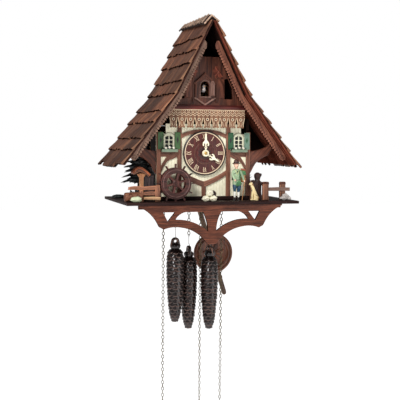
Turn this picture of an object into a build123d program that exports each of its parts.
from build123d import *
import os
from math import atan2, cos, hypot, pi, radians, sin

# Chalet cuckoo clock for a wall. Millimetres, +Z up, +X to the viewer's right and +Y into
# the wall. The origin is the centre of the hanging hole, on the plane of the wall, so the
# whole clock lies at negative Y. "out" is a distance forward from the wall. Heights are
# given above the centre of the dial, which hangs dial_drop below the hanging hole.

# Driving dimensions
dial_drop = 185.0
dial_radius = 47.5
case_half_width = 104.5
case_floor = -100.0
case_side_top = 74.0
board = 6.0
wall_out = 160.0
wall_thickness = 6.0
timber_thickness = 3.5
platform_x = (-182.0, 193.0)
platform_out = 227.0
platform_thickness = 6.0
hanger_bore = 9.0
clearance = 0.3
running_gap = 0.05

# Roof: a steep upper slope, a flatter lower slope, and the ridge line where both sides meet
roof_front = 214.0
roof_back = 2.0
roof_board = 5.0
ridge_top = (0.0, 281.4)
cap_peak = 286.6
cap_front = 216.0
roof_kink = (77.4, 123.9)
roof_eave = (192.4, -27.2)
shingle_butts = [50, 81, 113, 152, 183, 226, 257, 298, 328, 371]
shingle_front = 225.0
shingle_butt_thickness = 3.2
shingle_head_thickness = 1.3
shingle_lap = 9.0
barge_outer = 5.2
barge_inner = 19.0
barge_out = 200.2
barge_start = 48.0
barge_head = ((14.0, 19.0), (7.0, 17.0), (2.0, 13.0), (0.5, 9.0), (3.0, 5.2))

# Movement: arbor places across the case and heights, gears and the three chain wheels
plate_back_out = 44.0
plate_front_out = 140.0
plate_thickness = 2.0
gear_module = 0.6
cannon_teeth = 10
motion_teeth = 30
motion_pinion_teeth = 8
hour_teeth = 32
chain_radius = 1.6
chain_pitch_radius = 13.6
chain_wheel_height = -30.0
chain_bottom = -568.0
trains = {"left": (-57.6, 97.0), "middle": (8.2, 72.0), "right": (49.0, 97.0)}
weight_sides = {"left": 1, "middle": -1, "right": -1}
weight_tops = {"left": -186.0, "middle": -208.0, "right": -205.5}
weight_length = 188.0
weight_radius = 18.0
drum_place = (120.0, 41.0)

# Pendulum, at the end of its swing to the right
pendulum_swing = 17.6
pendulum_pivot = -25.0
bob_distance = 217.5
bob_radius = 46.6
rod_length = 321.0

# Mill wheel and cuckoo
mill_center = (-69.0, -63.0)
mill_radius = 33.0
mill_front_out = 192.0
paddle_reach = 41.0
door_hinge_x = 10.6
door_hinge_out = 167.6
door_open = 100.0
bird_height = 134.0

os.makedirs("parts", exist_ok=True)


def face_plane(out):
    """A plane facing the viewer at a distance out from the wall, its origin level with the dial."""
    return Plane(origin=(0, -out, -dial_drop), x_dir=(1, 0, 0), z_dir=(0, -1, 0))


def level_plane(height):
    """A horizontal plane at a height above the dial's centre."""
    return Plane.XY.offset(height - dial_drop)


def side_plane(x):
    """A plane facing right: its own x runs into the wall and its own y up from the dial."""
    return Plane(origin=(x, 0, -dial_drop), x_dir=(0, 1, 0), z_dir=(1, 0, 0))


def upright_plane(place, z):
    """A plane facing the viewer, its origin at a place in x and out and at a row height."""
    return Plane(origin=(place[0], -place[1], z), x_dir=(1, 0, 0), z_dir=(0, -1, 0))


def write(piece, node):
    """Names a finished piece and writes its file."""
    piece.part.label = node
    export_step(piece.part, f"parts/{node}.step")


def mirrored(points, side):
    """The outline on the right (side 1) or its mirror image on the left (side -1)."""
    return [(side * x, z) for x, z in points]


def slab(outline, out, thickness):
    """Adds a slab with that outline, its back at out, to the part in progress."""
    with BuildSketch(face_plane(out)) as profile:
        with BuildLine():
            Polyline(*outline, close=True)
        make_face()
    extrude(profile.sketch, amount=thickness)


def block(x, height, out):
    """Adds a box between pairs of limits in x, height and out."""
    with BuildSketch(face_plane(out[0])) as profile:
        with Locations(((x[0] + x[1]) / 2, (height[0] + height[1]) / 2)):
            Rectangle(x[1] - x[0], height[1] - height[0])
    extrude(profile.sketch, amount=out[1] - out[0])


def rod(center, radius, out, mode=Mode.ADD):
    """Adds or cuts a round rod that runs straight out from the wall."""
    with BuildSketch(face_plane(out[0])) as profile:
        with Locations(center):
            Circle(radius)
    extrude(profile.sketch, amount=out[1] - out[0], mode=mode)


# ---------------------------------------------------------------- roof geometry
upper_angle = atan2(ridge_top[1] - roof_kink[1], roof_kink[0])
lower_angle = atan2(roof_kink[1] - roof_eave[1], roof_eave[0] - roof_kink[0])
upper_length = hypot(roof_kink[0], ridge_top[1] - roof_kink[1])
lower_length = hypot(roof_eave[0] - roof_kink[0], roof_kink[1] - roof_eave[1])
ridge_flat = 8.0


def on_roof(distance, lift):
    """The point at a distance down the right slope, lifted square to it."""
    if distance <= upper_length:
        x = distance * cos(upper_angle)
        z = ridge_top[1] - distance * sin(upper_angle)
        return (x + lift * sin(upper_angle), z + lift * cos(upper_angle))
    rest = distance - upper_length
    x = roof_kink[0] + rest * cos(lower_angle)
    z = roof_kink[1] - rest * sin(lower_angle)
    return (x + lift * sin(lower_angle), z + lift * cos(lower_angle))


def kink_point(lift):
    """The corner of a line that runs parallel to both slopes at that lift."""
    middle = (upper_angle + lower_angle) / 2
    reach = lift / cos((upper_angle - lower_angle) / 2)
    return (roof_kink[0] + reach * sin(middle), roof_kink[1] + reach * cos(middle))


def roof_height(x, lift):
    """The height of the line at that lift where it passes x."""
    corner = kink_point(lift)
    if x <= corner[0]:
        return corner[1] + (corner[0] - x) * sin(upper_angle) / cos(upper_angle)
    return corner[1] - (x - corner[0]) * sin(lower_angle) / cos(lower_angle)


under_roof = -roof_board - clearance


def roof_strip(outer, inner, end):
    """The outline of a strip along the right slope between two lifts, down to a distance."""
    top_outer = (0.2, roof_height(0.2, outer))
    top_inner = (0.2, roof_height(0.2, inner))
    return [
        top_outer,
        kink_point(outer),
        on_roof(end, outer),
        on_roof(end, inner),
        kink_point(inner),
        top_inner,
    ]


# ---------------------------------------------------------------- roof
def make_roof_boards():
    """The two boarded slopes, with a thin verge strip along each front edge."""
    flat = on_roof(ridge_flat, 0)
    with BuildPart() as boards:
        for side in (-1, 1):
            outline = roof_strip(0, -roof_board, upper_length + lower_length)
            outline[0:1] = [(0.2, flat[1]), flat]
            slab(mirrored(outline, side), roof_back, roof_front - roof_back)
            verge = roof_strip(-0.6, -4.0, upper_length + lower_length - 4)
            verge[0] = (0.2, flat[1] - 1)
            verge[1:1] = [on_roof(ridge_flat + 3, -0.6)]
            slab(mirrored(verge, side), roof_front, 8.0)
    return boards


def make_shingles(side):
    """Ten courses of split shingles on one slope, each shingle a wedge of its own."""
    width = shingle_front - roof_back
    shares = ([0.0, 0.27, 0.49, 0.78, 1.0], [0.0, 0.22, 0.55, 0.74, 1.0], [0.0, 0.31, 0.64, 1.0])
    gap = 0.5
    with BuildPart() as shingles:
        for course, butt in enumerate(shingle_butts):
            head = shingle_butts[course - 1] - shingle_lap if course else 3 * ridge_flat
            top = on_roof(head, shingle_head_thickness + 0.2)
            low = on_roof(head, 0.2)
            butt_low = on_roof(butt, 1.8)
            butt_top = on_roof(butt, 1.8 + shingle_butt_thickness)
            outline = mirrored([low, butt_low, butt_top, top], side)
            cuts = shares[(course + (side > 0)) % 3]
            for near, far in zip(cuts, cuts[1:]):
                start = roof_back + near * width + gap / 2
                slab(outline, start, (far - near) * width - gap)
    return shingles


def make_ridge_cap():
    """Ten folded cap boards along the ridge, tipped up and a little longer toward the front."""
    count = 10
    pitch = (cap_front - roof_back) / count
    lip = 3.6
    low = on_roof(ridge_flat, 0)[1] + 0.2
    shortest = 0.58
    with BuildPart() as cap:
        block((-4, 4), (low, low + 5), (roof_back, cap_front - 0.4))
        for k in range(count):
            start = roof_back + k * pitch
            wing = shortest + (1 - shortest) * k / (count - 1)
            outline = [
                (-2.5, cap_peak),
                (-2.5 + 18.0 * wing, cap_peak - 12.8 * wing),
                (-3.7 + 18.0 * wing, cap_peak - 2.8 - 12.8 * wing),
                (-2.1, cap_peak - 4),
                (-0.2 - 17.3 * wing, cap_peak - 2.3 - 19.8 * wing),
                (-2.5 - 17.3 * wing, cap_peak - 19.8 * wing),
            ]
            slab(outline, start, pitch - 0.4)
            if k < count - 1:
                raised = [(x, z + lip) for x, z in outline]
                slab(raised, start + 0.6 * pitch, 0.4 * pitch - 0.4)
    return cap


def make_barge_boards():
    """The pair of boards that face the roof's front edge, with rounded lower ends."""
    end = 333.0
    with BuildPart() as barge:
        for side in (-1, 1):
            strip = roof_strip(-barge_outer, -barge_inner, end)[1:5]
            head = [on_roof(barge_start + step, -lift) for step, lift in barge_head]
            slab(mirrored(strip + head, side), barge_out, 6.0)
            tip = on_roof(end, -(barge_outer + barge_inner) / 2)
            rod(
                (side * tip[0], tip[1]),
                (barge_inner - barge_outer) / 2,
                (barge_out, barge_out + 6.0),
            )
    return barge


def make_knee_braces():
    """Sawn braces between the corner posts and the underside of the roof."""
    with BuildPart() as braces:
        for side in (-1, 1):
            outline = [
                (case_half_width, -46),
                (case_half_width + 5, -40),
                (116, -24),
                (128, -12),
                (146, -2),
                (149, roof_height(149, under_roof) - 0.5),
                (130, roof_height(130, under_roof) - 0.5),
                (118, -2),
                (case_half_width, -18),
            ]
            slab(mirrored(outline, side), wall_out - 12, 12.0)
    return braces


# ---------------------------------------------------------------- case
def make_back_frame():
    """The back board: a frame round the door opening and a gable up to the ridge."""
    with BuildPart() as frame:
        with BuildSketch(face_plane(0)):
            with BuildLine():
                corner = (case_half_width, case_side_top)
                kink = kink_point(under_roof)
                peak = (0, roof_height(0, under_roof) - 1)
                Polyline(
                    (case_half_width, case_floor + clearance),
                    corner,
                    kink,
                    peak,
                    (-kink[0], kink[1]),
                    (-corner[0], corner[1]),
                    (-case_half_width, case_floor + clearance),
                    close=True,
                )
            make_face()
            with Locations((0, -16)):
                Rectangle(156, 152, mode=Mode.SUBTRACT)
            with Locations((0, dial_drop)):
                Circle(hanger_bore, mode=Mode.SUBTRACT)
        extrude(amount=board)
    return frame


def make_hanger_plate():
    """The steel plate with the hanging hole, let in flush with the back of the clock."""
    with BuildPart() as plate:
        with BuildSketch(face_plane(0)):
            with Locations((0, dial_drop)):
                Circle(hanger_bore - 0.2)
                Circle(4.0, mode=Mode.SUBTRACT)
        extrude(amount=2.0)
        with BuildSketch(face_plane(board)):
            with Locations((0, dial_drop)):
                RectangleRounded(34, 26, 3)
                Circle(7.0, mode=Mode.SUBTRACT)
        extrude(amount=1.5)
        with BuildSketch(face_plane(1.0)):
            with Locations((0, dial_drop)):
                Circle(hanger_bore - 0.2)
                Circle(7.0, mode=Mode.SUBTRACT)
        extrude(amount=board)
    return plate


def make_back_door():
    """The door in the back that gives access to the movement."""
    with BuildPart() as door:
        block((-77.5, 77.5), (-91.5, 59.5), (0.3, 4.3))
        rod((60, -16), 5, (4.3, 9.0))
    return door


def make_case_sides():
    """The two side walls, with a round sound hole each."""
    with BuildPart() as sides:
        for side in (-1, 1):
            inner = case_half_width - board
            limits = sorted((side * inner, side * case_half_width))
            out = (board, wall_out - wall_thickness - clearance)
            block(limits, (case_floor + clearance, case_side_top), out)
            with BuildSketch(side_plane(limits[0] - 1)):
                with Locations((-96, 10)):
                    Circle(16)
            extrude(amount=board + 2, mode=Mode.SUBTRACT)
    return sides


def make_front_wall():
    """The planked front wall, with vertical grooves and holes for the arbors."""
    plank = 6.8
    with BuildPart() as wall:
        out = (wall_out - wall_thickness, wall_out)
        block((-case_half_width, case_half_width), (case_floor + clearance, 62), out)
        with BuildSketch(face_plane(wall_out - 0.7)):
            with GridLocations(plank, 1, 31, 1):
                Rectangle(0.6, 400)
        extrude(amount=1.0, mode=Mode.SUBTRACT)
        rod((0, 0), 6.0, (wall_out - 10, wall_out + 1), Mode.SUBTRACT)
        rod(mill_center, 2.0 + running_gap, (wall_out - 10, wall_out + 1), Mode.SUBTRACT)
    return wall


def make_timber_frame():
    """Posts, rails and curved braces laid on the front wall."""
    post = (95.2, 104.5)
    inner = (50.0, 59.0)
    out = wall_out
    with BuildPart() as timber:
        for side in (-1, 1):
            block(sorted((side * post[0], side * post[1])), (-99.5, 62), (out, out + timber_thickness))
            block(sorted((side * inner[0], side * inner[1])), (-99.5, 62), (out, out + timber_thickness))
            brace = [(0, -71), (4.5, -71), (50, -47), (50, -37), (0, -60)]
            slab(mirrored(brace, side), out, timber_thickness)
            curve = [(59, 2), (59, -8), (74, -13), (83, -22), (90, -34), (95.2, -40)]
            back = [(95.2, -28), (88, -17), (78, -6), (68, 2)]
            slab(mirrored(curve + back, side), out, timber_thickness)
            arch = [(0, 50), (22, 48.5), (50, 40), (50, 31), (46, 32.5), (22, 41), (0, 42.5)]
            slab(mirrored(arch, side), out, timber_thickness)
            rail = sorted((side * 59.0, side * 95.2))
            block(rail, (-8, 2), (out, out + 1.5))
        block((-4.6, 4.6), (-99.5, -60), (out, out + timber_thickness))
        block((-case_half_width, case_half_width), (-99.5, -92), (out, out + timber_thickness + 1.5))
        rod((0, 0), 6.0, (out - 1, out + 6), Mode.SUBTRACT)
        rod(mill_center, 2.0 + running_gap, (out - 1, out + 6), Mode.SUBTRACT)
    return timber


def gable_outline(low):
    """The triangle under the roof from a height up to the ridge."""
    edge = under_roof - 0.2
    corner = kink_point(edge)
    side = corner[0] + (corner[1] - low) * cos(lower_angle) / sin(lower_angle)
    if low > corner[1]:
        side = corner[0]
    right = [(side - 1, low), corner]
    return right + [(0, roof_height(0, edge) - 1)] + mirrored(right[::-1], -1)


def make_gable_panel():
    """The gable board with the cuckoo's arched opening, two sound openings and a ledge."""
    low = 92.0
    out = 157.0
    with BuildPart() as gable:
        slab(gable_outline(low), out, 6.0)
        for side in (-1, 1):
            notch = [(45, 115), (61, 115), (62, 138), (53, 158), (45, 158)]
            with BuildSketch(face_plane(out - 1)):
                with BuildLine():
                    Polyline(*mirrored(notch, side), close=True)
                make_face()
            extrude(amount=10, mode=Mode.SUBTRACT)
        with BuildSketch(face_plane(out - 1)):
            with Locations((0, 131)):
                Rectangle(19.6, 22)
            with Locations((0, 142)):
                Circle(9.8)
        extrude(amount=10, mode=Mode.SUBTRACT)
        block((-88, 88), (low, 98), (out + 6, 186))
        block((-84, 84), (98, 101.5), (out + 6, 172))
    return gable


def make_bird_surround():
    """The carved pointed frame round the cuckoo's opening."""
    out = 163.2
    with BuildPart() as surround:
        with BuildSketch(face_plane(out)):
            with BuildLine():
                Polyline((0, 167), (22, 147), (22, 118), (0, 103), (-22, 118), (-22, 147), close=True)
            make_face()
            with Locations((0, 130.5)):
                Rectangle(24, 23, mode=Mode.SUBTRACT)
            with Locations((0, 142)):
                Circle(12, mode=Mode.SUBTRACT)
        extrude(amount=4.0)
    return surround


def make_fringe_board():
    """The valance under the gable ledge, with nine hanging tulip-shaped teeth."""
    half_width = 83.5
    pitch = 2 * half_width / 9
    with BuildPart() as fringe:
        block((-half_width, half_width), (70, 91.8), (181, 185))
        for k in range(9):
            x = -half_width + (k + 0.5) * pitch
            tooth = [(x - 8.6, 70), (x - 6.2, 57), (x - 7.4, 54), (x, 53), (x + 7.4, 54)]
            slab(tooth + [(x + 6.2, 57), (x + 8.6, 70)], 181, 4.0)
    return fringe


# ---------------------------------------------------------------- base
def make_platform():
    """The base board: case floor and the shelf for the scenery, with chain holes."""
    top = case_floor
    with BuildPart() as platform:
        with BuildSketch(level_plane(top - platform_thickness)):
            with Locations((sum(platform_x) / 2, -platform_out / 2)):
                Rectangle(platform_x[1] - platform_x[0], platform_out)
            for name, (x, out) in trains.items():
                for step in (-chain_pitch_radius, chain_pitch_radius):
                    with Locations((x + step, -out)):
                        Circle(4.5, mode=Mode.SUBTRACT)
            with Locations((1, -30)):
                Rectangle(80, 11, mode=Mode.SUBTRACT)
            with Locations((mill_center[0], -mill_front_out + 8)):
                Rectangle(50, 19, mode=Mode.SUBTRACT)
        extrude(amount=platform_thickness)
    return platform


def make_front_bracket():
    """The sawn bracket under the platform's front edge: arched legs and a centre post."""
    top = case_floor - platform_thickness - 0.1
    with BuildPart() as bracket:
        with BuildSketch(face_plane(215)):
            with BuildLine():
                Polyline((0, top), (156, top), (156, top - 3))
                ThreePointArc((156, top - 3), (131, -125), (116, -146))
                Polyline((116, -146), (113, -151), (104, -155.6))
                ThreePointArc((104, -155.6), (87, -151.6), (67, -152.5))
                ThreePointArc((67, -152.5), (36, -163), (10, -187))
                Polyline((10, -187), (8, -188), (0, -188))
                mirror(about=Plane.YZ)
            make_face()
            for side in (-1, 1):
                with BuildLine(mode=Mode.PRIVATE) as small:
                    triangle = [(105.5, -120.5), (80, -120.5), (95.5, -140)]
                    Polyline(*mirrored(triangle, side), close=True)
                with BuildLine(mode=Mode.PRIVATE) as large:
                    Line((20 * side, -120.5), (58 * side, -120.5))
                    ThreePointArc((58 * side, -120.5), (72 * side, -127), (80 * side, -136.5))
                    ThreePointArc((80 * side, -136.5), (44 * side, -141), (9 * side, -161.5))
                    ThreePointArc((9 * side, -161.5), (12 * side, -139), (20 * side, -120.5))
                make_face(small.edges(), mode=Mode.SUBTRACT)
                make_face(large.edges(), mode=Mode.SUBTRACT)
        extrude(amount=8)
    return bracket


# ---------------------------------------------------------------- windows
window_x = 77.8


def make_window_frames():
    """Two arched six-pane windows: a frame, its glazing bars and dark glass behind them."""
    with BuildPart() as windows:
        for side in (-1, 1):
            with BuildSketch(face_plane(wall_out)):
                with Locations((side * window_x, 21)):
                    Rectangle(24, 21)
                with Locations((side * window_x, 31.5)):
                    Ellipse(12, 9.5)
            extrude(amount=1.0)
            with BuildSketch(face_plane(wall_out + 1)):
                with Locations((side * window_x, 21)):
                    Rectangle(24, 21)
                with Locations((side * window_x, 31.5)):
                    Ellipse(12, 9.5)
                for row, height in ((0, 14.6), (1, 22.4), (2, 30.2)):
                    for step in (-4.7, 4.7):
                        with Locations((side * window_x + step, height)):
                            Rectangle(6.4, 6.2, mode=Mode.SUBTRACT)
            extrude(amount=2.5)
    return windows


def make_shutters():
    """Four shutters with a diamond cut into each."""
    with BuildPart() as shutters:
        for x in (-96.3, -59.3, 59.3, 96.3):
            out = wall_out + timber_thickness
            block((x - 6, x + 6), (8, 44), (out, out + 2.0))
            with BuildSketch(face_plane(out + 1)):
                with Locations((x, 27)):
                    with BuildLine():
                        Polyline((x - 2.6, 27), (x, 34), (x + 2.6, 27), (x, 20), close=True)
                    make_face()
            extrude(amount=3, mode=Mode.SUBTRACT)
    return shutters


def make_flower_boxes():
    """A green sill under each window with a row of small flower heads on it."""
    with BuildPart() as boxes:
        for side in (-1, 1):
            center = side * window_x
            block((center - 17.5, center + 17.5), (2, 8), (wall_out + 3.5, wall_out + 13))
            for k in range(6):
                with Locations((center - 12.5 + 5 * k, -wall_out - 9, 9.5 - dial_drop)):
                    Sphere(2.4)
    return boxes


# ---------------------------------------------------------------- dial and hands
def make_dial():
    """The turned wooden dial, revolved about an axis straight out from the wall."""
    section = Plane(
        origin=(0, -wall_out - timber_thickness, -dial_drop),
        x_dir=(1, 0, 0),
        z_dir=(0, 0, 1),
    )
    with BuildPart() as dial:
        with BuildSketch(section):
            with BuildLine():
                Polyline(
                    (4.1, 0),
                    (dial_radius, 0),
                    (dial_radius, -2.5),
                    (dial_radius - 1.5, -5),
                    (dial_radius - 4, -5),
                    (dial_radius - 6, -3.4),
                    (20, -3.2),
                    (18, -4.4),
                    (15, -3.4),
                    (4.1, -3.4),
                    close=True,
                )
            make_face()
        revolve(axis=Axis((0, 0, -dial_drop), (0, 1, 0)))
    return dial


def make_dial_inlay():
    """The pale ring, the twelve numerals' strokes and the hub rosette on the dial."""
    out = wall_out + timber_thickness + 3.3
    strokes = ["|||", "|", "||", "|||", "||", "|", "||", "|||", "||||", "||", "|", "||"]
    with BuildPart() as inlay:
        with BuildSketch(face_plane(out + 1.75)):
            Circle(dial_radius - 1.8)
            Circle(dial_radius - 3.2, mode=Mode.SUBTRACT)
        extrude(amount=0.6)
        for hour, marks in enumerate(strokes):
            with BuildSketch(face_plane(out + 0.2)):
                with PolarLocations(34.5, 1, 90 - 30 * hour):
                    with GridLocations(1, 2.4, 1, len(marks)):
                        Rectangle(9.0, 0.9)
            extrude(amount=0.5)
    return inlay


def make_hand(length, hole, out):
    """An ivory cuckoo hand that points to twelve: hub ring, barbed spade and long tip."""
    with BuildPart() as hand:
        with BuildSketch(face_plane(out)):
            Circle(7.2)
            with BuildLine():
                scale = length / 43.0
                Polyline(
                    (2.0, 5),
                    (1.8, 11 * scale),
                    (4.2, 14 * scale),
                    (7.2, 19 * scale),
                    (7.2, 22 * scale),
                    (3.2, 21 * scale),
                    (1.8, 25 * scale),
                    (1.1, length),
                    (-1.1, length),
                    (-1.8, 25 * scale),
                    (-3.2, 21 * scale),
                    (-7.2, 22 * scale),
                    (-7.2, 19 * scale),
                    (-4.2, 14 * scale),
                    (-1.8, 11 * scale),
                    (-2.0, 5),
                    close=True,
                )
            make_face()
            Circle(hole, mode=Mode.SUBTRACT)
        extrude(amount=1.2)
    return hand


def make_hour_hand():
    """The hour hand, turned to four o'clock."""
    hand = make_hand(36.0, 4.05, 171.2)
    axis = Axis((0, 0, -dial_drop), (0, 1, 0))
    with BuildPart() as turned:
        add(hand.part.rotate(axis, 120))
    return turned


def make_hand_nut():
    """The small round nut that holds the minute hand."""
    with BuildPart() as nut:
        with BuildSketch(face_plane(175.6)):
            Circle(3.2)
            Circle(1.6, mode=Mode.SUBTRACT)
        extrude(amount=1.6)
    return nut


# ---------------------------------------------------------------- mill wheel
def make_mill_wheel():
    """Two spoked rims with paddles between them, on an axle through the front wall."""
    rim = 3.0
    depth = 16.0
    with BuildPart() as wheel:
        for out in (mill_front_out - depth, mill_front_out - rim):
            with BuildSketch(face_plane(out)):
                with Locations(mill_center):
                    Circle(mill_radius)
                    Circle(mill_radius * 0.68, mode=Mode.SUBTRACT)
                    Circle(7.5)
                with Locations(mill_center):
                    with PolarLocations(14, 6, 15):
                        Rectangle(21, 5)
            extrude(amount=rim)
        with BuildSketch(face_plane(mill_front_out - depth + rim)):
            with Locations(mill_center):
                with PolarLocations((24 + paddle_reach) / 2, 12):
                    Rectangle(paddle_reach - 24, 1.8)
        extrude(amount=depth - 2 * rim)
        rod(mill_center, 2.0, (144, mill_front_out + 2))
    return wheel


# ---------------------------------------------------------------- cuckoo
def make_cuckoo_bird():
    """The little bird on its wire arm, which runs back to the lifting lever."""
    with BuildPart() as bird:
        with Locations((0, -154, bird_height - dial_drop)):
            Sphere(6.0)
        with Locations((0, -158, bird_height + 7 - dial_drop)):
            Sphere(4.2)
        with BuildSketch(face_plane(161)):
            with Locations((0, bird_height + 7)):
                Circle(1.4)
        extrude(amount=6.0, taper=10)
        rod((0, bird_height - 2), 1.2, (72, 152))
        block((-4, 4), (bird_height - 8, bird_height + 1), (70, 73))
    return bird


def make_cuckoo_door():
    """The arched door, standing open on its hinge bead at the right of the opening."""
    angle = radians(180 + door_open)
    leaf = Plane(
        origin=(door_hinge_x, -door_hinge_out, -dial_drop),
        x_dir=(cos(angle), sin(angle), 0),
        z_dir=(sin(angle), -cos(angle), 0),
    )
    thickness = 1.4
    width = 20.4
    with BuildPart() as door:
        with BuildSketch(leaf.offset(-thickness / 2)):
            with Locations((clearance + width / 2, 131.2)):
                Rectangle(width, 21.6)
            with Locations((clearance + width / 2, 142)):
                Circle(width / 2)
        extrude(amount=thickness)
        with Locations((door_hinge_x, -door_hinge_out, 131.2 - dial_drop)):
            Cylinder(0.85, 21.6)
    return door


# ---------------------------------------------------------------- scenery
def make_stones():
    """Stones on the platform: a pale oval one, a grey boulder and a pile of round ones."""
    ground = case_floor - dial_drop + 0.2
    with BuildPart() as stones:
        for x, out, size in ((-160, 214, (12, 4.5, 7)), (172, 200, (13.5, 7, 8))):
            with BuildSketch(Plane(origin=(x, -out, ground))):
                Ellipse(size[0], size[1])
            extrude(amount=size[2], taper=20)
        for x, height in ((-10.5, 0), (6.5, 0), (-2, 13)):
            with Locations((x, -209, ground + height)):
                Cone(8.2, 4, 13, align=(Align.CENTER, Align.CENTER, Align.MIN))
    return stones


def make_trees():
    """A fir in tiers at the left, a gnarled stump at the right, and two low dark bushes."""
    fir = (-136.0, 135.0)
    stump = (121.0, 165.0)
    ground = case_floor - dial_drop + 0.2
    with BuildPart() as trees:
        base = (Align.CENTER, Align.CENTER, Align.MIN)
        with Locations((fir[0], -fir[1], ground)):
            Cylinder(4, 36, align=base)
        for low, high, radius, tip in ((36.1, 60, 28, 11), (60.1, 82, 24, 8), (82.1, 104, 17, 2)):
            with Locations((fir[0], -fir[1], ground + low)):
                Cone(radius, tip, high - low, align=base)
        with BuildSketch(upright_plane(stump, ground)):
            with BuildLine():
                Polyline(
                    (0, 0), (11, 0), (7, 8), (5, 30), (9, 38), (8.5, 47), (4, 53), (0, 54), close=True
                )
            make_face()
        revolve(axis=Axis((stump[0], -stump[1], 0), (0, 0, 1)))
        with BuildSketch(Plane(origin=(-163, -65, ground))):
            Ellipse(18, 7)
        extrude(amount=9, taper=15)
        with Locations((10, -192, ground)):
            Cone(9, 6, 22, align=base)
    return trees


def make_fences():
    """The rail fence and hollowed log at the left and the two-post fence at the right."""
    low = case_floor + 0.2
    with BuildPart() as fences:
        block((-117, -107), (low, -66), (196, 203))
        block((-174, -107), (-76, -67), (196, 203))
        block((-142, -107), (-96, -89), (196, 203))
        with BuildSketch(side_plane(-181)):
            with Locations((-200, -89)):
                Circle(9.5)
        extrude(amount=34)
        block((125, 138), (low, -61), (183, 191))
        block((167, 180), (low, -61.5), (176, 184))
        slab([(136, -73), (189, -73), (189, -81), (136, -81)], 183.5, 2.5)
    return fences


def make_shrine():
    """The wayside pillar with its small pitched roof, and the plank shed behind it."""
    low = case_floor + 0.2
    with BuildPart() as shrine:
        block((-144, -135), (low, -42), (170, 178))
        slab([(-148, -28), (-122, -46), (-124, -50), (-148, -33), (-159, -41), (-161, -37)], 164, 20)
        block((-133, -114), (low, -48), (164.5, 178))
    return shrine


def make_wanderer():
    """A carved man with a hat, a jacket, breeches and a pack on his back."""
    ground = case_floor + 0.2
    with BuildPart() as figure:
        block((57, 73), (ground, ground + 3), (180, 200))
        block((58, 64), (ground + 3, -70), (184, 193))
        block((66, 73), (ground + 3, -70), (182, 191))
        with BuildSketch(level_plane(-72)):
            with Locations((65.5, -187)):
                Ellipse(10.5, 7)
        with BuildSketch(level_plane(-34)):
            with Locations((65, -187)):
                Ellipse(9.5, 6)
        loft()
        block((76.5, 86), (-62, -36), (178, 190))
        block((70, 78), (-56, -42), (182, 188))
        with Locations((63.5, -188.5, -25 - dial_drop)):
            Sphere(6.2)
        rod((64.5, -33), 3.0, (184, 191))
        with Locations((64, -188, -21.5 - dial_drop)):
            Cylinder(8.8, 1.6)
            Cylinder(5.4, 9, align=(Align.CENTER, Align.CENTER, Align.MIN))
    return figure


def make_dog():
    """A sitting dog that looks up at the man."""
    ground = case_floor + 0.2
    with BuildPart() as dog:
        slab(
            [
                (90, -65),
                (95, -61.5),
                (100, -64),
                (106, -76),
                (112, -92),
                (112.5, ground),
                (96, ground),
                (97, -86),
                (94, -72),
                (89, -69),
            ],
            192,
            8.0,
        )
    return dog


# ---------------------------------------------------------------- movement
def gear_outline(center, teeth, turn):
    """A spur gear's outline: teeth a little narrower than their gaps."""
    pitch = gear_module * teeth / 2
    tip = pitch + 0.85 * gear_module
    root = pitch - 1.15 * gear_module
    step = 360 / teeth
    outline = []
    for k in range(teeth):
        for share, radius in ((-0.22, root), (-0.11, tip), (0.11, tip), (0.22, root)):
            angle = radians(turn + (k + share) * step)
            outline.append((center[0] + radius * cos(angle), center[1] + radius * sin(angle)))
    return outline


motion_distance = gear_module * (cannon_teeth + motion_teeth) / 2
motion_center = (motion_distance * cos(pi / 4), motion_distance * sin(pi / 4))


def make_movement_frame():
    """Two plates on four pillars, the pendulum and hammer studs, and the music comb.

    The pieces stand running_gap apart, so that each is a solid of its own."""
    low, high = -62.0, 28.0
    plate_front_back = plate_back_out + plate_thickness
    between = (plate_front_back + running_gap, plate_front_out - running_gap)
    behind = plate_back_out - running_gap
    with BuildPart() as frame:
        for out in (plate_back_out, plate_front_out):
            block((-79, 77), (low, high), (out, out + plate_thickness))
        limits = (plate_back_out - 5, plate_front_out + plate_thickness + 5)
        for x, out in trains.values():
            rod((x, chain_wheel_height), 2.0 + running_gap, limits, Mode.SUBTRACT)
        rod((0, 0), 2.2 + running_gap, limits, Mode.SUBTRACT)
        for x in (-76, 74):
            for height in (-58, 24):
                rod((x, height), 2.0, between)
        rod(motion_center, 0.8, (plate_front_out + plate_thickness + running_gap, 153))
        rod((0, pendulum_pivot), 1.0, (25, behind))
        rod((0, 2), 0.8, (37, behind))
        rod((30, -5), 1.0, (12, behind))
        block((-60, 60), (high + running_gap, high + 2), (101, 136))
        block((-50, 50), (high + 2 + running_gap, high + 9), (101, 107))
        for side in (-1, 1):
            limits = sorted((side * 61, side * 64))
            block(limits, (high - 2, high + 22), (101, 132))
        with BuildSketch(side_plane(-70)):
            with Locations((-drum_place[0], drum_place[1])):
                Circle(2.0 + running_gap)
        extrude(amount=140, mode=Mode.SUBTRACT)
    return frame


def make_music_cylinder():
    """The pinned cylinder of the music work, on its arbor."""
    with BuildPart() as cylinder:
        with BuildSketch(side_plane(-58)):
            with Locations((-drum_place[0], drum_place[1])):
                Circle(8.0)
        extrude(amount=116)
        with BuildSketch(side_plane(-66)):
            with Locations((-drum_place[0], drum_place[1])):
                Circle(2.0)
        extrude(amount=132)
    return cylinder


def make_chain_wheel(x, out):
    """A chain wheel between two flanges on its arbor."""
    with BuildPart() as wheel:
        rod((x, chain_wheel_height), 11.4, (out - 4.5, out - 3))
        rod((x, chain_wheel_height), 11.4, (out + 3, out + 4.5))
        rod((x, chain_wheel_height), 9.0, (out - 3, out + 3))
        rod((x, chain_wheel_height), 2.0, (plate_back_out - 1, plate_front_out + plate_thickness + 1))
    return wheel


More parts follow.
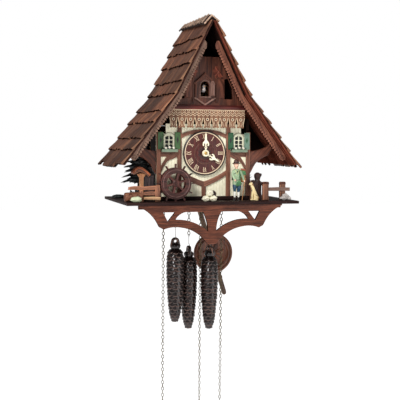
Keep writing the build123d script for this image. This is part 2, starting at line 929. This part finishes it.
def make_minute_arbor():
    """The centre arbor with the cannon pinion, carrying the minute hand."""
    with BuildPart() as arbor:
        rod((0, 0), 2.2, (plate_back_out + 0.2, 173.9))
        rod((0, 0), 1.6, (173.9, 178.5))
        slab(gear_outline((0, 0), cannon_teeth, 45 + 18), 143, 3.6)
    return arbor


def make_motion_wheel():
    """The motion work's wheel and pinion on its stud."""
    with BuildPart() as wheel:
        slab(gear_outline(motion_center, motion_teeth, 45 + 180), 143.6, 2.2)
        slab(gear_outline(motion_center, motion_pinion_teeth, 45 + 180 + 22.5), 145.8, 4.4)
        rod(motion_center, 0.8 + running_gap, (143, 151), Mode.SUBTRACT)
    return wheel


def make_hour_wheel():
    """The hour wheel on its long tube, which carries the hour hand."""
    with BuildPart() as wheel:
        slab(gear_outline((0, 0), hour_teeth, 45), 147.4, 2.2)
        rod((0, 0), 4.0, (147.4, 173.0))
        rod((0, 0), 2.2 + running_gap, (147, 173.5), Mode.SUBTRACT)
    return wheel


def make_escape_wheel():
    """The escape wheel behind the back plate."""
    center = (0, 2)
    teeth = 15
    with BuildPart() as wheel:
        outline = []
        for k in range(teeth):
            for share, radius in ((0.0, 8.5), (0.15, 12.0), (0.25, 12.0), (0.5, 8.5)):
                angle = radians((k + share) * 360 / teeth)
                outline.append((center[0] + radius * cos(angle), center[1] + radius * sin(angle)))
        slab(outline, 38.5, 1.5)
        rod(center, 0.8 + running_gap, (38, 41), Mode.SUBTRACT)
    return wheel


# ---------------------------------------------------------------- pendulum
def pendulum_plane(out):
    """A plane facing the viewer, its origin on the pivot and its y up along the pendulum."""
    swing = radians(pendulum_swing)
    return Plane(
        origin=(0, -out, pendulum_pivot - dial_drop),
        x_dir=(cos(swing), 0, sin(swing)),
        z_dir=(0, -1, 0),
    )


def make_pendulum_leader():
    """The anchor and the wire leader that the pendulum hangs on."""
    with BuildPart() as leader:
        with BuildSketch(pendulum_plane(26)):
            Circle(3.0)
            Circle(1.0 + running_gap, mode=Mode.SUBTRACT)
        extrude(amount=16)
        with BuildSketch(pendulum_plane(37.5)):
            with BuildLine():
                ThreePointArc((-9, 5), (0, 10.3), (9, 5))
                ThreePointArc((7.4, 4), (0, 8.4), (-7.4, 4))
                Line((-9, 5), (-7.4, 4))
                Line((9, 5), (7.4, 4))
            make_face()
            with Locations((0, 5.5)):
                Rectangle(3, 6.5)
            Circle(1.0 + running_gap, mode=Mode.SUBTRACT)
        extrude(amount=3)
        with BuildSketch(pendulum_plane(29)):
            with Locations((0, -46.5)):
                Rectangle(1.8, 89)
        extrude(amount=1.8)
    return leader


def make_pendulum_rod():
    """The flat wooden rod, rounded at its lower end."""
    top = -91.5
    with BuildPart() as rod_part:
        with BuildSketch(pendulum_plane(22)):
            with Locations((0, (top - rod_length) / 2)):
                Rectangle(11, rod_length + top)
        extrude(amount=5)
        corners = rod_part.edges().filter_by(Axis.Y).sort_by(Axis.Z)[:2]
        chamfer(corners, 2.5)
    return rod_part


def make_pendulum_bob():
    """The turned bob in front of the rod."""
    with BuildPart() as bob:
        with BuildSketch(pendulum_plane(27.2)):
            with Locations((0, -bob_distance)):
                Circle(bob_radius)
        extrude(amount=6)
        with BuildSketch(pendulum_plane(33.2)):
            with Locations((0, -bob_distance)):
                Circle(bob_radius - 2)
                Circle(bob_radius - 11, mode=Mode.SUBTRACT)
        extrude(amount=3)
        with BuildSketch(pendulum_plane(33.2)):
            with Locations((0, -bob_distance)):
                Circle(22)
        extrude(amount=2, taper=30)
    return bob


# ---------------------------------------------------------------- weights and chains
def make_weight(name):
    """One fir-cone weight: an eye, a knob and a long scaly body."""
    x, out = trains[name]
    x += weight_sides[name] * chain_pitch_radius
    top = weight_tops[name] - dial_drop
    eye_thickness = 8.0
    with BuildPart() as weight:
        with BuildSketch(upright_plane((x, out), top)):
            with BuildLine():
                Polyline((0, -13), (9.5, -14), (11.8, -19.5), (9.6, -26), (12.5, -32))
                Spline(
                    (12.5, -32), (16.8, -58), (weight_radius, -95), (17, -140), (13.5, -168), (7, -186)
                )
                Polyline((7, -186), (5.5, -weight_length), (0, -weight_length), (0, -13))
            make_face()
        revolve(axis=Axis((x, -out, 0), (0, 0, 1)))
        with BuildSketch(upright_plane((x, out - eye_thickness / 2), top)):
            with Locations((0, -8.6)):
                Circle(8.6)
            with Locations((0, -14)):
                Rectangle(17, 6)
            with Locations((0, -8)):
                Circle(3.1, mode=Mode.SUBTRACT)
        extrude(amount=eye_thickness)
    return weight


def make_weight_chain(name):
    """The chain from the chain wheel down to the weight's eye."""
    x, out = trains[name]
    x += weight_sides[name] * chain_pitch_radius
    height = chain_wheel_height - weight_tops[name] - clearance
    with BuildPart() as chain:
        with Locations((x, -out, weight_tops[name] + clearance - dial_drop)):
            Cylinder(chain_radius, height, align=(Align.CENTER, Align.CENTER, Align.MIN))
    return chain


def make_free_chain(name):
    """The free end of the chain, with the ring that stops it at its end."""
    x, out = trains[name]
    x -= weight_sides[name] * chain_pitch_radius
    height = chain_wheel_height - chain_bottom
    ring = 6.0
    with BuildPart() as chain:
        with Locations((x, -out, chain_bottom - dial_drop)):
            Cylinder(chain_radius, height, align=(Align.CENTER, Align.CENTER, Align.MIN))
        with Locations(Location((x, -out, chain_bottom - ring - 0.5 - dial_drop), (90, 0, 0))):
            Torus(ring, 1.0)
    return chain


# ---------------------------------------------------------------- sound
def make_whistle_boxes():
    """The two wooden whistle pipes with their bellows bodies on top."""
    with BuildPart() as boxes:
        for side in (-1, 1):
            limits = sorted((side * 81, side * 97))
            block(limits, (-58, 40), (60, 92))
            block(sorted((side * 82, side * 96)), (40, 50), (61, 91))
    return boxes


def make_bellows_lid(side):
    """The lid of one bellows, which lifts to draw air on the bead along its back edge."""
    hinge_out, low = 58.0, 50.3
    with BuildPart() as lid:
        block(sorted((side * 81, side * 97)), (low, low + 2.2), (hinge_out, 94))
        with BuildSketch(side_plane(min(side * 81, side * 97))):
            with Locations((-hinge_out, low)):
                Circle(1.0)
        extrude(amount=16)
    return lid


def make_gong():
    """The coiled wire gong on its block."""
    with BuildPart() as gong:
        with Locations(Location((60, -15, 35 - dial_drop), (90, 0, 0))):
            Torus(26, 1.5)
        block((85, 98.2), (28, 42), (10, 20))
    return gong


def make_gong_hammer():
    """The hammer that strikes the gong from below."""
    with BuildPart() as hammer:
        with BuildSketch(face_plane(13)):
            with Locations((30, -5)):
                Circle(3.0)
            with BuildLine():
                Polyline((30, -6), (57, -1), (57, 1), (30, -4), close=True)
            make_face()
            with Locations((60, 1)):
                Rectangle(7, 7)
            with Locations((30, -5)):
                Circle(1.0 + running_gap, mode=Mode.SUBTRACT)
        extrude(amount=4)
    return hammer


# ---------------------------------------------------------------- build everything
write(make_back_frame(), "back_frame")
write(make_hanger_plate(), "hanger_plate")
write(make_back_door(), "back_door")
write(make_case_sides(), "case_sides")
write(make_front_wall(), "front_wall")
write(make_timber_frame(), "timber_frame")
write(make_gable_panel(), "gable_panel")
write(make_bird_surround(), "bird_surround")
write(make_fringe_board(), "fringe_board")
write(make_platform(), "platform")
write(make_front_bracket(), "front_bracket")
write(make_roof_boards(), "roof_boards")
write(make_shingles(-1), "shingles_left")
write(make_shingles(1), "shingles_right")
write(make_ridge_cap(), "ridge_cap")
write(make_barge_boards(), "barge_boards")
write(make_knee_braces(), "knee_braces")
write(make_window_frames(), "window_frames")
write(make_shutters(), "shutters")
write(make_flower_boxes(), "flower_boxes")
write(make_dial(), "dial")
write(make_dial_inlay(), "dial_inlay")
write(make_hand(43.0, 2.2, 174.0), "minute_hand")
write(make_hour_hand(), "hour_hand")
write(make_hand_nut(), "hand_nut")
write(make_mill_wheel(), "mill_wheel")
write(make_cuckoo_bird(), "cuckoo_bird")
write(make_cuckoo_door(), "cuckoo_door")
write(make_stones(), "stones")
write(make_trees(), "trees")
write(make_fences(), "fences")
write(make_shrine(), "shrine")
write(make_wanderer(), "wanderer_figure")
write(make_dog(), "dog_figure")
write(make_movement_frame(), "movement_frame")
write(make_music_cylinder(), "music_cylinder")
write(make_minute_arbor(), "minute_arbor")
write(make_motion_wheel(), "motion_wheel")
write(make_hour_wheel(), "hour_wheel")
write(make_escape_wheel(), "escape_wheel")
write(make_pendulum_leader(), "pendulum_leader")
write(make_pendulum_rod(), "pendulum_rod")
write(make_pendulum_bob(), "pendulum_bob")
for train, place in trains.items():
    write(make_chain_wheel(*place), f"chain_wheel_{train}")
    write(make_weight(train), f"weight_{train}")
    write(make_weight_chain(train), f"weight_chain_{train}")
    write(make_free_chain(train), f"free_chain_{train}")
write(make_whistle_boxes(), "whistle_boxes")
write(make_bellows_lid(-1), "bellows_lid_left")
write(make_bellows_lid(1), "bellows_lid_right")
write(make_gong(), "gong")
write(make_gong_hammer(), "gong_hammer")
